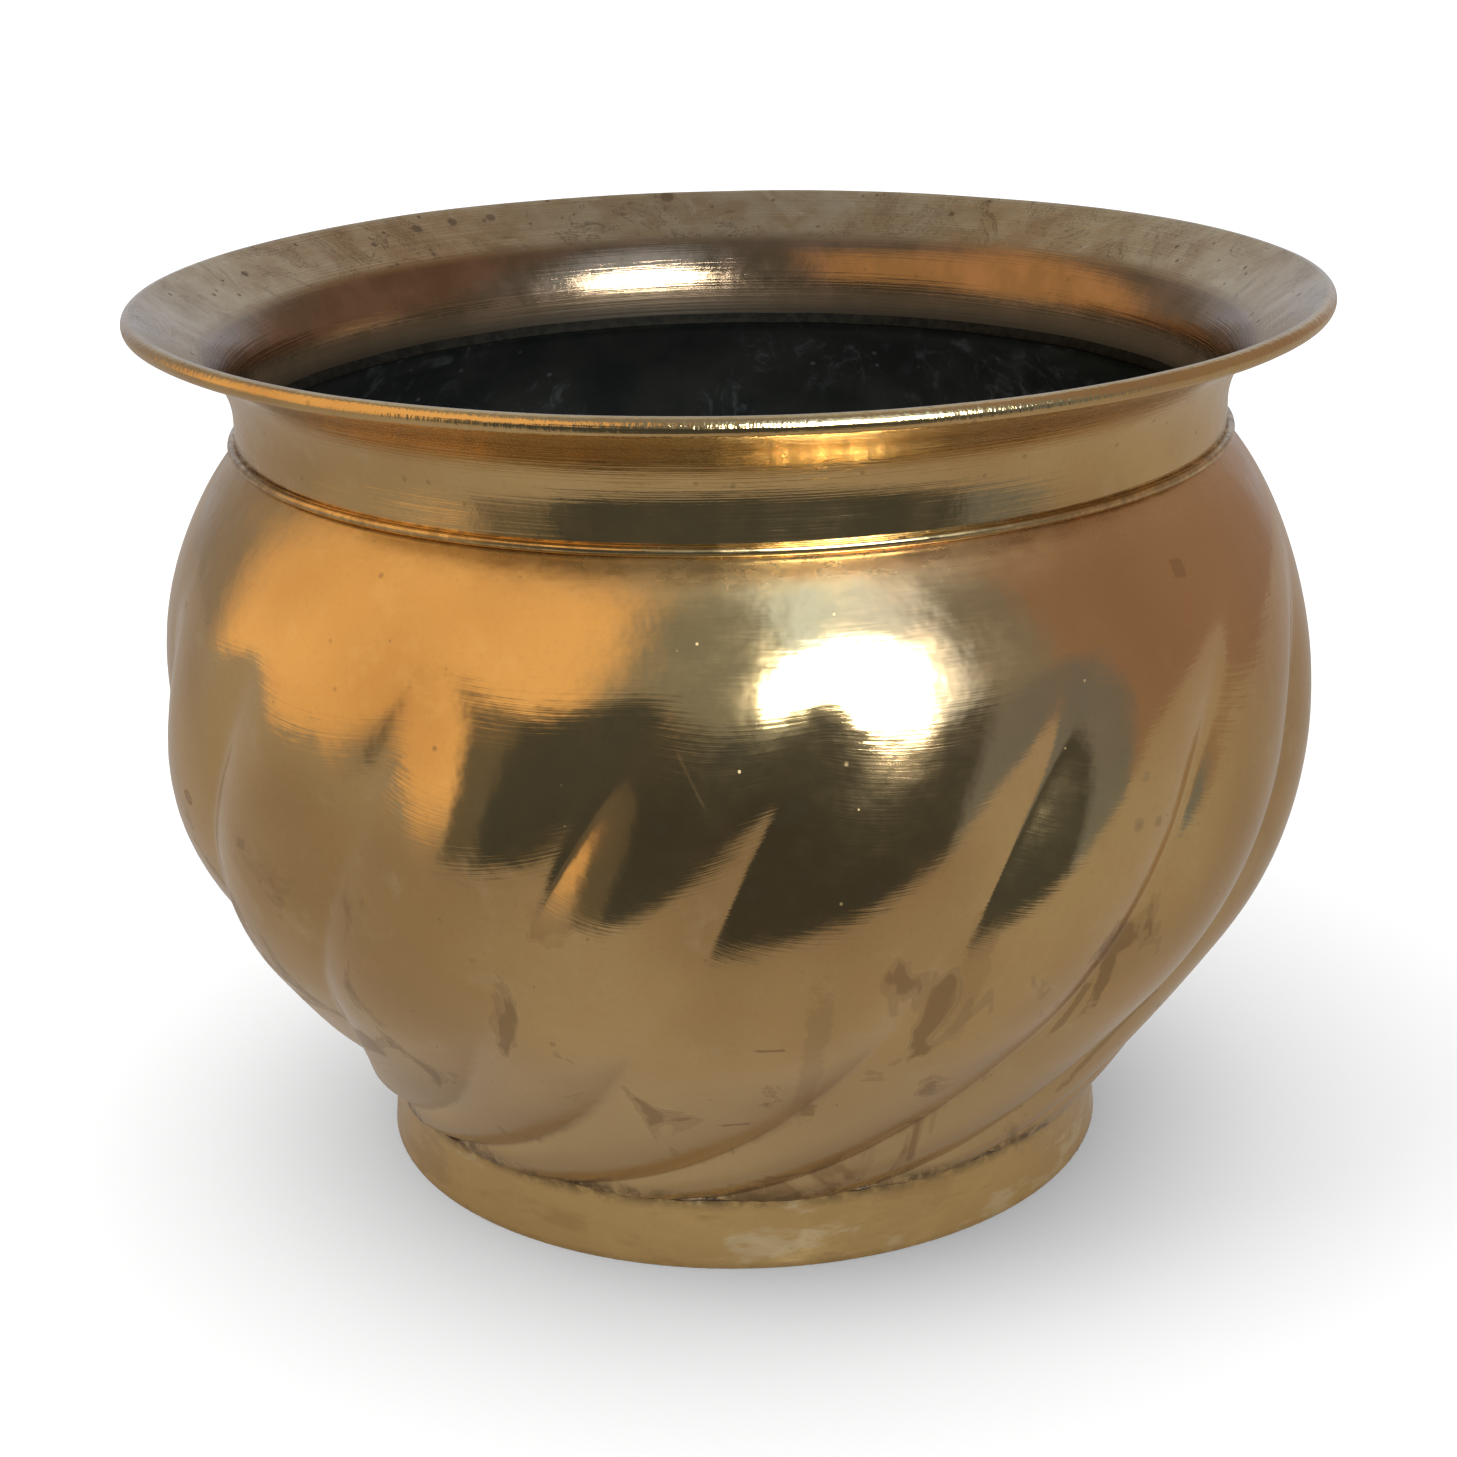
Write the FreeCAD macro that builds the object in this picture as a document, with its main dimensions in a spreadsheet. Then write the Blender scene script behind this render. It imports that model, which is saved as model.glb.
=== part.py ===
import FreeCAD, Part
import Sketcher
import math
import os

# Brass planter pot (cachepot): a swirl-lobed sheet bowl, a flared neck collar lapped over its
# mouth, a wire in the rolled rim and a foot ring soldered underneath.
# Millimetres, +Z up, origin at the bottom centre, on the plane the foot stands on.

DIMENSIONS = {
    # whole pot
    "height": 168.0,
    "rim_radius": 111.4,
    "sheet": 0.8,
    "fit_gap": 0.02,
    # bowl: an arc and a straight flank below the belly line, an ellipse above it
    "belly_height": 89.0,
    "belly_radius": 110.2,
    "low_arc_radius": 68.0,
    "flank_angle": 35.0,
    "shoulder_inset": 38.7,
    "shoulder_rise": 61.8,
    "base_height": 15.0,
    "shoulder_top": 141.0,
    "mouth_radius": 91.6,
    "mouth_height": 146.0,
    # swirled lobes
    "lobe_count": 17,
    "lobe_depth": 3.2,
    "lobe_top": 129.0,
    "lobe_fade": 34.0,
    "lobe_base_depth": 1.5,
    "lobe_base_fade": 16.0,
    "swirl_phase": -2.0,
    "swirl_rate": 0.291,
    "foot_sweep": 110.0,
    "foot_sweep_fade": 11.0,
    # neck collar and rolled rim
    "waist_radius": 92.6,
    "flare_radius": 15.5,
    "lip_angle": 35.0,
    "wire_radius": 0.9,
    "roll_end_angle": 20.0,
    "bead_radius": 1.25,
    "bead_top": 143.5,
    "collar_inner_end": 142.5,
    "collar_edge_radius": 92.7,
    "collar_edge_height": 141.2,
    # foot ring
    "foot_radius": 71.3,
    "foot_top_radius": 71.5,
    "foot_curve_radius": 45.0,
    "foot_sheet": 1.0,
    "hem_width": 3.0,
    "flange_radius": 66.0,
    # solder
    "neck_solder_start": 143.2,
    "neck_solder_fillet": 0.9,
    "foot_solder_leg": 0.85,
}

WALL_STATIONS = 19
STATION_CROWDING = 1.5
LAP_STATIONS = 5


def make_sheet(doc):
    """The driving dimensions: one named cell each."""
    sheet = doc.addObject("Spreadsheet::Sheet", "Dims")
    for row, (name, value) in enumerate(DIMENSIONS.items(), start=1):
        sheet.set(f"A{row}", name)
        sheet.set(f"B{row}", str(value))
        sheet.setAlias(f"B{row}", name)
    doc.recompute()
    return sheet


def smoothstep(share):
    share = min(max(share, 0.0), 1.0)
    return share * share * (3.0 - 2.0 * share)


# ---------------------------------------------------------------- bowl

def bowl_radius(dims, z):
    """Radius over the lobes' crests at height z."""
    rise = z - dims.belly_height
    if z > dims.shoulder_top:
        return lap_radius(dims, z)
    if rise >= 0:
        share = rise / dims.shoulder_rise
        return dims.belly_radius - dims.shoulder_inset * (1 - math.sqrt(1 - share * share))
    flank = math.radians(dims.flank_angle)
    arc_drop = dims.low_arc_radius * math.sin(flank)
    centre = dims.belly_radius - dims.low_arc_radius
    if -rise <= arc_drop:
        return centre + math.sqrt(dims.low_arc_radius ** 2 - rise ** 2)
    return centre + dims.low_arc_radius * math.cos(flank) - (-rise - arc_drop) * math.tan(flank)


def lap_radius(dims, z):
    """The shoulder bends up into the straight lap along a parabola."""
    share = (dims.shoulder_top - dims.belly_height) / dims.shoulder_rise
    lean = dims.shoulder_inset * share / (dims.shoulder_rise * math.sqrt(1 - share * share))
    inward = bowl_radius(dims, dims.shoulder_top) - dims.mouth_radius
    bend_height = 2 * inward / lean
    left = max(1 - (z - dims.shoulder_top) / bend_height, 0.0)
    return dims.mouth_radius + inward * left * left


def lobe_depth(dims, z):
    """How far the creases between the lobes lie inside the crests."""
    top_share = smoothstep((dims.lobe_top - z) / dims.lobe_fade)
    base_share = smoothstep((z - dims.base_height) / dims.lobe_base_fade)
    depth = dims.lobe_base_depth + (dims.lobe_depth - dims.lobe_base_depth) * base_share
    return depth * top_share


def swirl_angle(dims, z):
    """Turn of the creases about the axis: steady up the belly, sweeping round at the foot."""
    sweep = dims.foot_sweep * math.exp(-z / dims.foot_sweep_fade)
    return math.radians(dims.swirl_phase + dims.swirl_rate * z - sweep - 90.0)


def lobed_section(dims, z, inset):
    """Closed wire of one arc per lobe, inset by the sheet's thickness for the inner wall."""
    step = 0.05
    slope = (bowl_radius(dims, z + step) - bowl_radius(dims, z - step)) / (2 * step)
    crest = bowl_radius(dims, z) - inset * math.hypot(1.0, slope)
    crease = crest - lobe_depth(dims, z)
    pitch = 2 * math.pi / dims.lobe_count
    start = swirl_angle(dims, z)

    def point(radius, angle):
        return FreeCAD.Vector(radius * math.cos(angle), radius * math.sin(angle), z)

    arcs = []
    for lobe in range(int(dims.lobe_count)):
        left = start + lobe * pitch
        arc = Part.Arc(point(crease, left), point(crest, left + pitch / 2), point(crease, left + pitch))
        arcs.append(arc.toShape())
    return Part.Wire(arcs)


def lobed_solid(dims, low, inset):
    """Loft from low up to the mouth, its sections crowded near the foot, where the swirl is fast."""
    wall = dims.shoulder_top - low
    lap = dims.mouth_height - dims.shoulder_top
    heights = [low + wall * (i / WALL_STATIONS) ** STATION_CROWDING for i in range(WALL_STATIONS)]
    heights += [dims.shoulder_top + lap * i / LAP_STATIONS for i in range(LAP_STATIONS + 1)]
    sections = [lobed_section(dims, height, inset) for height in heights]
    return Part.makeLoft(sections, True, False)


def make_bowl(doc, dims):
    """Sheet bowl with a closed flat base and a short straight lap round its mouth."""
    outside = lobed_solid(dims, dims.base_height, 0.0)
    inside = lobed_solid(dims, dims.base_height + dims.sheet, dims.sheet)
    bowl = doc.addObject("Part::Feature", "Bowl")
    bowl.Shape = outside.cut(inside)
    bowl.Label = "bowl"
    bowl.Placement = FreeCAD.Placement()
    return bowl


# ---------------------------------------------------------------- turned pieces

def origin_plane(body, role):
    return next(item for item in body.Origin.OriginFeatures if item.Role == role)


class Outline:
    """A closed half-section in the XZ plane, its constraints bound to the sheet."""

    def __init__(self, doc, label):
        self.doc = doc
        self.body = doc.addObject("PartDesign::Body", label.title().replace("_", ""))
        self.body.Label = label
        self.sketch = self.body.newObject("Sketcher::SketchObject", "Section_" + label)
        self.sketch.AttachmentSupport = [(origin_plane(self.body, "XZ_Plane"), "")]
        self.sketch.MapMode = "FlatFace"

    def line(self, start, end):
        first = FreeCAD.Vector(*start, 0)
        second = FreeCAD.Vector(*end, 0)
        return self.sketch.addGeometry(Part.LineSegment(first, second), False)

    def arc(self, centre, radius, first, last):
        """Arc drawn anticlockwise between two angles in degrees."""
        circle = Part.Circle(FreeCAD.Vector(*centre, 0), FreeCAD.Vector(0, 0, 1), radius)
        shape = Part.ArcOfCircle(circle, math.radians(first), math.radians(last))
        return self.sketch.addGeometry(shape, False)

    def tie(self, kind, *items):
        return self.sketch.addConstraint(Sketcher.Constraint(kind, *items))

    def drive(self, kind, *items, value, size):
        """A dimension that follows an expression of the sheet's cells."""
        index = self.sketch.addConstraint(Sketcher.Constraint(kind, *items, value))
        self.sketch.setExpression(f"Constraints[{index}]", size)

    def place(self, geometry, vertex, x, z, x_size, z_size):
        self.drive("DistanceX", -1, 1, geometry, vertex, value=x, size=x_size)
        self.drive("DistanceY", -1, 1, geometry, vertex, value=z, size=z_size)

    def polygon(self, corners):
        """Straight-sided outline: each corner is (x expression, z expression)."""
        points = [tuple(evaluate(self.doc, size) for size in corner) for corner in corners]
        count = len(points)
        lines = [self.line(points[i], points[(i + 1) % count]) for i in range(count)]
        for i in range(count):
            self.tie("Coincident", lines[i], 2, lines[(i + 1) % count], 1)
            self.place(lines[i], 1, *points[i], *corners[i])

    def revolve(self):
        turned = self.body.newObject("PartDesign::Revolution", "Turned_" + self.body.Label)
        turned.Profile = self.sketch
        turned.ReferenceAxis = (self.sketch, ["V_Axis"])
        turned.Angle = 360.0
        self.body.Placement = FreeCAD.Placement()
        return self.body


def evaluate(doc, expression):
    """Number that an expression of the sheet's cells gives now."""
    value = doc.Dims.evalExpression(expression.replace("Dims.", ""))
    return float(getattr(value, "Value", value))


def make_neck_collar(doc, dims):
    """Neck, flare and lip in one sheet, rolled round the rim wire; a bead hems the lower edge."""
    outline = Outline(doc, "neck_collar")
    roll = dims.wire_radius + dims.sheet
    lip = math.radians(dims.lip_angle)
    lip_normal = (-math.sin(lip), math.cos(lip))
    roll_centre = (dims.rim_radius - roll, dims.height - roll)
    inner_radius = dims.waist_radius - dims.sheet

    def off_roll(distance):
        return tuple(c + distance * n for c, n in zip(roll_centre, lip_normal))

    wire_tangent = off_roll(dims.wire_radius)
    lip_tangent = off_roll(roll)
    flare_end_radius = dims.waist_radius + dims.flare_radius * (1 - math.sin(lip))
    lip_run = wire_tangent[0] - flare_end_radius
    flare_end = (flare_end_radius, wire_tangent[1] - lip_run * math.tan(lip))
    waist_height = flare_end[1] - dims.flare_radius * math.cos(lip)
    flare_centre = (dims.waist_radius + dims.flare_radius, waist_height)
    inner_flare = dims.flare_radius + dims.sheet
    inner_flare_end = tuple(c + inner_flare * n for c, n in zip(flare_centre, lip_normal))
    roll_end = 180.0 + dims.roll_end_angle

    def on_roll(distance):
        turn = math.radians(roll_end)
        return (roll_centre[0] + distance * math.cos(turn), roll_centre[1] + distance * math.sin(turn))

    edge = (dims.collar_edge_radius, dims.collar_edge_height)
    bead_end = (dims.waist_radius, dims.bead_top)
    chord = math.dist(edge, bead_end)
    reach = math.sqrt(dims.bead_radius ** 2 - chord ** 2 / 4)
    along = ((bead_end[0] - edge[0]) / chord, (bead_end[1] - edge[1]) / chord)
    middle = ((edge[0] + bead_end[0]) / 2, (edge[1] + bead_end[1]) / 2)
    bead_centre = (middle[0] + reach * along[1], middle[1] - reach * along[0])

    def angle_to(point):
        return math.degrees(math.atan2(point[1] - bead_centre[1], point[0] - bead_centre[0]))

    inner_wall = outline.line((inner_radius, waist_height), (inner_radius, dims.collar_inner_end))
    lower_edge = outline.line((inner_radius, dims.collar_inner_end), edge)
    bead = outline.arc(bead_centre, dims.bead_radius, angle_to(edge), angle_to(bead_end))
    outer_wall = outline.line(bead_end, (dims.waist_radius, waist_height))
    flare = outline.arc(flare_centre, dims.flare_radius, 90.0 + dims.lip_angle, 180.0)
    lip_under = outline.line(flare_end, wire_tangent)
    around_wire = outline.arc(roll_centre, dims.wire_radius, roll_end - 360.0, 90.0 + dims.lip_angle)
    roll_edge = outline.line(on_roll(dims.wire_radius), on_roll(roll))
    roll_outside = outline.arc(roll_centre, roll, roll_end - 360.0, 90.0 + dims.lip_angle)
    lip_top = outline.line(lip_tangent, inner_flare_end)
    inner_flare_arc = outline.arc(flare_centre, inner_flare, 90.0 + dims.lip_angle, 180.0)

    outline.tie("Coincident", inner_wall, 2, lower_edge, 1)
    outline.tie("Coincident", lower_edge, 2, bead, 1)
    outline.tie("Coincident", bead, 2, outer_wall, 1)
    outline.tie("Tangent", outer_wall, 2, flare, 2)
    outline.tie("Tangent", flare, 1, lip_under, 1)
    outline.tie("Tangent", lip_under, 2, around_wire, 2)
    outline.tie("Coincident", around_wire, 1, roll_edge, 1)
    outline.tie("Coincident", roll_edge, 2, roll_outside, 1)
    outline.tie("Tangent", roll_outside, 2, lip_top, 1)
    outline.tie("Tangent", lip_top, 2, inner_flare_arc, 1)
    outline.tie("Tangent", inner_flare_arc, 2, inner_wall, 1)
    outline.tie("Vertical", inner_wall)
    outline.tie("Vertical", outer_wall)
    outline.tie("Coincident", around_wire, 3, roll_outside, 3)
    outline.tie("Coincident", flare, 3, inner_flare_arc, 3)
    outline.tie("PointOnObject", roll_outside, 3, roll_edge)

    outline.drive("Radius", flare, value=dims.flare_radius, size="Dims.flare_radius")
    outline.drive("Radius", inner_flare_arc, value=inner_flare, size="Dims.flare_radius + Dims.sheet")
    outline.drive("Radius", around_wire, value=dims.wire_radius, size="Dims.wire_radius")
    outline.drive("Radius", roll_outside, value=roll, size="Dims.wire_radius + Dims.sheet")
    outline.drive("Radius", bead, value=dims.bead_radius, size="Dims.bead_radius")
    outline.place(roll_outside, 3, *roll_centre,
                  "Dims.rim_radius - Dims.wire_radius - Dims.sheet",
                  "Dims.height - Dims.wire_radius - Dims.sheet")
    outline.drive("Angle", lip_under, value=lip, size="Dims.lip_angle * 1deg")
    outline.drive("Angle", roll_edge, value=math.radians(roll_end),
                  size="(180 + Dims.roll_end_angle) * 1deg")
    outline.place(outer_wall, 1, *bead_end, "Dims.waist_radius", "Dims.bead_top")
    outline.place(lower_edge, 2, *edge, "Dims.collar_edge_radius", "Dims.collar_edge_height")
    outline.drive("DistanceY", -1, 1, lower_edge, 1, value=dims.collar_inner_end,
                  size="Dims.collar_inner_end")
    return outline.revolve()


def make_rim_wire(doc, dims):
    """Round wire that stiffens the rolled edge."""
    wire = doc.addObject("Part::Torus", "RimWire")
    wire.Label = "rim_wire"
    wire.setExpression("Radius1", "Dims.rim_radius - Dims.wire_radius - Dims.sheet")
    wire.setExpression("Radius2", "Dims.wire_radius - Dims.fit_gap")
    wire.setExpression("Placement.Base.z", "Dims.height - Dims.wire_radius - Dims.sheet")
    return wire


def make_foot_ring(doc, dims):
    """Waisted band with a flange under the bowl and a hem turned in at the bottom."""
    outline = Outline(doc, "foot_ring")
    band = dims.foot_sheet
    top = dims.base_height
    hem_inner = dims.foot_radius - dims.hem_width

    def waisted(low, high, radius):
        """Arc between two corners, its hollow side outward."""
        chord = math.dist(low, high)
        along = ((high[0] - low[0]) / chord, (high[1] - low[1]) / chord)
        reach = math.sqrt(radius ** 2 - chord ** 2 / 4)
        centre = ((low[0] + high[0]) / 2 + reach * along[1], (low[1] + high[1]) / 2 - reach * along[0])
        first = math.degrees(math.atan2(high[1] - centre[1], high[0] - centre[0])) % 360.0
        last = math.degrees(math.atan2(low[1] - centre[1], low[0] - centre[0])) % 360.0
        return outline.arc(centre, radius, first, last)

    outer_low = (dims.foot_radius, 0.0)
    outer_high = (dims.foot_top_radius, top)
    inner_low = (dims.foot_radius - band, band)
    inner_high = (dims.foot_top_radius - band, top - band)
    rest_face = outline.line((hem_inner, 0.0), outer_low)
    outside = waisted(outer_low, outer_high, dims.foot_curve_radius)
    flange_top = outline.line(outer_high, (dims.flange_radius, top))
    flange_edge = outline.line((dims.flange_radius, top), (dims.flange_radius, top - band))
    flange_under = outline.line((dims.flange_radius, top - band), inner_high)
    inside = waisted(inner_low, inner_high, dims.foot_curve_radius + band)
    hem_top = outline.line(inner_low, (hem_inner, band))
    hem_edge = outline.line((hem_inner, band), (hem_inner, 0.0))

    outline.tie("Coincident", rest_face, 2, outside, 2)
    outline.tie("Coincident", outside, 1, flange_top, 1)
    outline.tie("Coincident", flange_top, 2, flange_edge, 1)
    outline.tie("Coincident", flange_edge, 2, flange_under, 1)
    outline.tie("Coincident", flange_under, 2, inside, 1)
    outline.tie("Coincident", inside, 2, hem_top, 1)
    outline.tie("Coincident", hem_top, 2, hem_edge, 1)
    outline.tie("Coincident", hem_edge, 2, rest_face, 1)
    outline.tie("PointOnObject", rest_face, 1, -1)
    outline.tie("PointOnObject", rest_face, 2, -1)
    outline.tie("Horizontal", flange_top)
    outline.tie("Vertical", flange_edge)
    outline.tie("Horizontal", flange_under)
    outline.tie("Horizontal", hem_top)
    outline.tie("Vertical", hem_edge)
    outline.drive("DistanceX", -1, 1, rest_face, 1, value=hem_inner,
                  size="Dims.foot_radius - Dims.hem_width")
    outline.drive("DistanceX", -1, 1, rest_face, 2, value=dims.foot_radius, size="Dims.foot_radius")
    outline.place(flange_top, 1, *outer_high, "Dims.foot_top_radius", "Dims.base_height")
    outline.place(flange_under, 1, dims.flange_radius, top - band,
                  "Dims.flange_radius", "Dims.base_height - Dims.foot_sheet")
    outline.drive("DistanceX", -1, 1, flange_under, 2, value=inner_high[0],
                  size="Dims.foot_top_radius - Dims.foot_sheet")
    outline.place(hem_top, 1, *inner_low,
                  "Dims.foot_radius - Dims.foot_sheet", "Dims.foot_sheet")
    outline.drive("Radius", outside, value=dims.foot_curve_radius, size="Dims.foot_curve_radius")
    outline.drive("Radius", inside, value=dims.foot_curve_radius + band,
                  size="Dims.foot_curve_radius + Dims.foot_sheet")
    return outline.revolve()


def make_neck_solder(doc):
    """Film between the bowl's lap and the collar, with a fillet along the lap's top edge."""
    outline = Outline(doc, "neck_solder")
    film_inside = "Dims.mouth_radius + Dims.fit_gap"
    film_outside = "Dims.waist_radius - Dims.sheet - Dims.fit_gap"
    lap_top = "Dims.mouth_height + Dims.fit_gap"
    outline.polygon([
        (film_inside, "Dims.neck_solder_start"),
        (film_outside, "Dims.neck_solder_start"),
        (film_outside, lap_top + " + Dims.neck_solder_fillet"),
        ("Dims.waist_radius - Dims.sheet - Dims.neck_solder_fillet", lap_top),
        (film_inside, lap_top),
    ])
    return outline.revolve()


def make_foot_solder(doc):
    """Fillet in the corner between the foot's outside and the bowl's base."""
    outline = Outline(doc, "foot_solder")
    wall = "Dims.foot_top_radius + Dims.fit_gap"
    ceiling = "Dims.base_height - Dims.fit_gap"
    outline.polygon([
        (wall, ceiling + " - Dims.foot_solder_leg"),
        (wall + " + Dims.foot_solder_leg", ceiling),
        (wall, ceiling),
    ])
    return outline.revolve()


def check(doc, pieces):
    """Stop on any failed feature or unusable shape."""
    for item in doc.Objects:
        if "Invalid" in item.State or "Error" in item.State:
            raise RuntimeError(f"{item.Label}: {item.State}")
    for piece in pieces:
        if piece.Shape.isNull() or not piece.Shape.isValid():
            raise RuntimeError(f"{piece.Label}: no valid shape")
        if len(piece.Shape.Solids) != 1:
            raise RuntimeError(f"{piece.Label}: {len(piece.Shape.Solids)} solids")


doc = FreeCAD.newDocument("PlanterPot")
dims = make_sheet(doc)
pieces = [
    make_bowl(doc, dims),
    make_neck_collar(doc, dims),
    make_rim_wire(doc, dims),
    make_foot_ring(doc, dims),
    make_neck_solder(doc),
    make_foot_solder(doc),
]
doc.recompute()
check(doc, pieces)
os.makedirs("parts", exist_ok=True)
for piece in pieces:
    piece.Shape.exportStep(f"parts/{piece.Label}.step")
    box = piece.Shape.BoundBox
    print(f"{piece.Label}: volume {piece.Shape.Volume:.1f} mm3, "
          f"radius {box.XMax:.2f}, z {box.ZMin:.2f} to {box.ZMax:.2f}")
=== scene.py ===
# Brass planter pot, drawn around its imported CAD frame. Shapes are worked out in millimetres
# and built in metres, +Z up, with -Y towards the viewer and azimuth counted from -Y to +X.
import math
import bpy
from mathutils import Matrix, Vector, noise


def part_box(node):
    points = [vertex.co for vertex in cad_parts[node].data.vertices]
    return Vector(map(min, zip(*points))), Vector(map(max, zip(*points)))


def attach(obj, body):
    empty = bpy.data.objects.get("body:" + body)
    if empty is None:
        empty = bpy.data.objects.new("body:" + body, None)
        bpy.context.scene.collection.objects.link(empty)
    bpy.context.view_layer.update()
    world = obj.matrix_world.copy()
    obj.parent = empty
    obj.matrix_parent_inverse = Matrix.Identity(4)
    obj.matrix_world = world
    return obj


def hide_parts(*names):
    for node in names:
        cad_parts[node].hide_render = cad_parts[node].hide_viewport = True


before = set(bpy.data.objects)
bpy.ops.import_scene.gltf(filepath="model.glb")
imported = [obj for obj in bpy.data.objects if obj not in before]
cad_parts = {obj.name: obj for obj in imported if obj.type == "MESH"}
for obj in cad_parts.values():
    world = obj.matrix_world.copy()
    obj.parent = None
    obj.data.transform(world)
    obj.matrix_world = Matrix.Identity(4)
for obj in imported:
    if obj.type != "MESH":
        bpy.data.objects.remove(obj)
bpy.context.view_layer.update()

MM = 0.001


def node_radius(name):
    """Largest radius of a turned CAD node, in millimetres."""
    low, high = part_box(name)
    return (high.x - low.x) / 2 / MM


# ---------------------------------------------------------------- sizes, millimetres

RIM_RADIUS = node_radius("neck_collar")
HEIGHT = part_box("neck_collar")[1].z / MM
BASE_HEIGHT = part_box("bowl")[0].z / MM
MOUTH_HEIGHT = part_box("bowl")[1].z / MM
FOOT_TOP_RADIUS = node_radius("foot_ring")
SHEET = 0.8

BELLY_HEIGHT = 89.0
BELLY_RADIUS = 110.2
LOW_ARC_RADIUS = 68.0
FLANK = math.radians(35.0)
SHOULDER_INSET = 38.7
SHOULDER_RISE = 61.8
SHOULDER_TOP = MOUTH_HEIGHT - 5.0
MOUTH_RADIUS = 91.6

LOBES = 17
LOBE_DEPTH = 3.2
LOBE_TOP = 129.0
LOBE_FADE = 34.0
LOBE_BASE_DEPTH = 1.5
LOBE_BASE_FADE = 16.0
CREASE_SOFTNESS = 0.07
CREASE_TOP_SOFTNESS = 0.18
SWIRL_PHASE = -2.0
SWIRL_RATE = 0.291
FOOT_SWEEP = 110.0
FOOT_SWEEP_FADE = 11.0
# degrees that each crease lies off its even place, in turn round the bowl
CREASE_SHIFTS = (-0.4, -1.0, 0.6, -0.8, 0.9, 0.2, -1.1, 0.7, 1.2, -0.6, 0.4, -1.2, 0.8, 1.5, 1.9, 1.7, -2.8)

WAIST_RADIUS = 92.6
FLARE_RADIUS = 15.5
LIP = math.radians(35.0)
WIRE_RADIUS = 0.9
ROLL_RADIUS = WIRE_RADIUS + SHEET
ROLL_END = math.radians(200.0)
BEAD_RADIUS = 0.9
BEAD_TOP = 142.7
COLLAR_INNER_END = 142.5
SEAM_HEIGHT = 142.3
COLLAR_EDGE = (92.7, 141.2)
# points along each stretch of the collar's half-section
WALL_STEPS, FLARE_STEPS, LIP_STEPS, ROLL_STEPS, WIRE_STEPS, BEAD_STEPS = 5, 14, 8, 22, 14, 12

FOOT_RADIUS = 71.3
FOOT_CURVE_RADIUS = 45.0
FOOT_SHEET = 1.0
HEM_WIDTH = 3.0
FLANGE_RADIUS = 66.0


# ---------------------------------------------------------------- small helpers

def smoothstep(share):
    share = min(max(share, 0.0), 1.0)
    return share * share * (3.0 - 2.0 * share)


def wobble(x, y, z, scale, seed):
    """Smooth noise from -1 to 1 at a point, with features about scale millimetres long."""
    return noise.noise(Vector((x / scale + seed, y / scale - seed, z / scale + 2.0 * seed)))


def arc(centre, radius, first, last, steps):
    """Points along an arc between two angles in radians, both ends included."""
    angles = [first + (last - first) * i / steps for i in range(steps + 1)]
    return [(centre[0] + radius * math.cos(a), centre[1] + radius * math.sin(a)) for a in angles]


def straight(start, end, steps):
    """Points along a straight line, without its last one."""
    shares = [i / steps for i in range(steps)]
    return [tuple(a + (b - a) * s for a, b in zip(start, end)) for s in shares]


def mesh_from_rings(name, rings, loop, values):
    """Skin over rings of equally many points. A looped skin closes on itself, and any other
    one is closed by a point at each end. values are named numbers, one list for each ring."""
    count = len(rings[0])
    points = [point for ring in rings for point in ring]
    faces = []
    pairs = len(rings) if loop else len(rings) - 1
    for row in range(pairs):
        here = row * count
        there = ((row + 1) % len(rings)) * count
        for i in range(count):
            after = (i + 1) % count
            faces.append((here + i, here + after, there + after, there + i))
    if not loop:
        last = (len(rings) - 1) * count
        for start, turned in ((0, True), (last, False)):
            centre = sum((Vector(p) for p in points[start:start + count]), Vector()) / count
            points.append(tuple(centre))
            for i in range(count):
                side = (start + i, start + (i + 1) % count)
                faces.append((*(side[::-1] if turned else side), len(points) - 1))
    mesh = bpy.data.meshes.new(name)
    mesh.from_pydata([tuple(c * MM for c in p) for p in points], [], faces)
    for key, numbers in values.items():
        spread = [n for ring in numbers for n in ring]
        spread += [spread[0], spread[-1]] if not loop else []
        mesh.attributes.new(key, "FLOAT", "POINT").data.foreach_set("value", spread)
    mesh.shade_smooth()
    mesh.validate()
    piece = bpy.data.objects.new(name, mesh)
    bpy.context.scene.collection.objects.link(piece)
    return piece


def turned_piece(name, outline, columns, shape):
    """Closed outline of (radius, height) swept round the axis, its faces outward whichever way
    the outline runs. shape(radius, height, angle) gives the hand-made radius and height there.
    The value along is millimetres of outline."""
    along = [0.0]
    for before, after in zip(outline, outline[1:]):
        along.append(along[-1] + math.dist(before, after))
    rings = []
    for radius, height in outline:
        ring = []
        for i in range(columns):
            angle = 2 * math.pi * i / columns
            r, z = shape(radius, height, angle)
            ring.append((r * math.cos(angle), r * math.sin(angle), z))
        rings.append(ring)
    section = [(math.hypot(ring[0][0], ring[0][1]), ring[0][2]) for ring in rings]
    pairs = zip(section, section[1:] + section[:1])
    if sum(a[0] * b[1] - b[0] * a[1] for a, b in pairs) < 0:
        rings.reverse()
        along.reverse()
    return mesh_from_rings(name, rings, True, {"along": [[a] * columns for a in along]})


# ---------------------------------------------------------------- bowl

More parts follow.
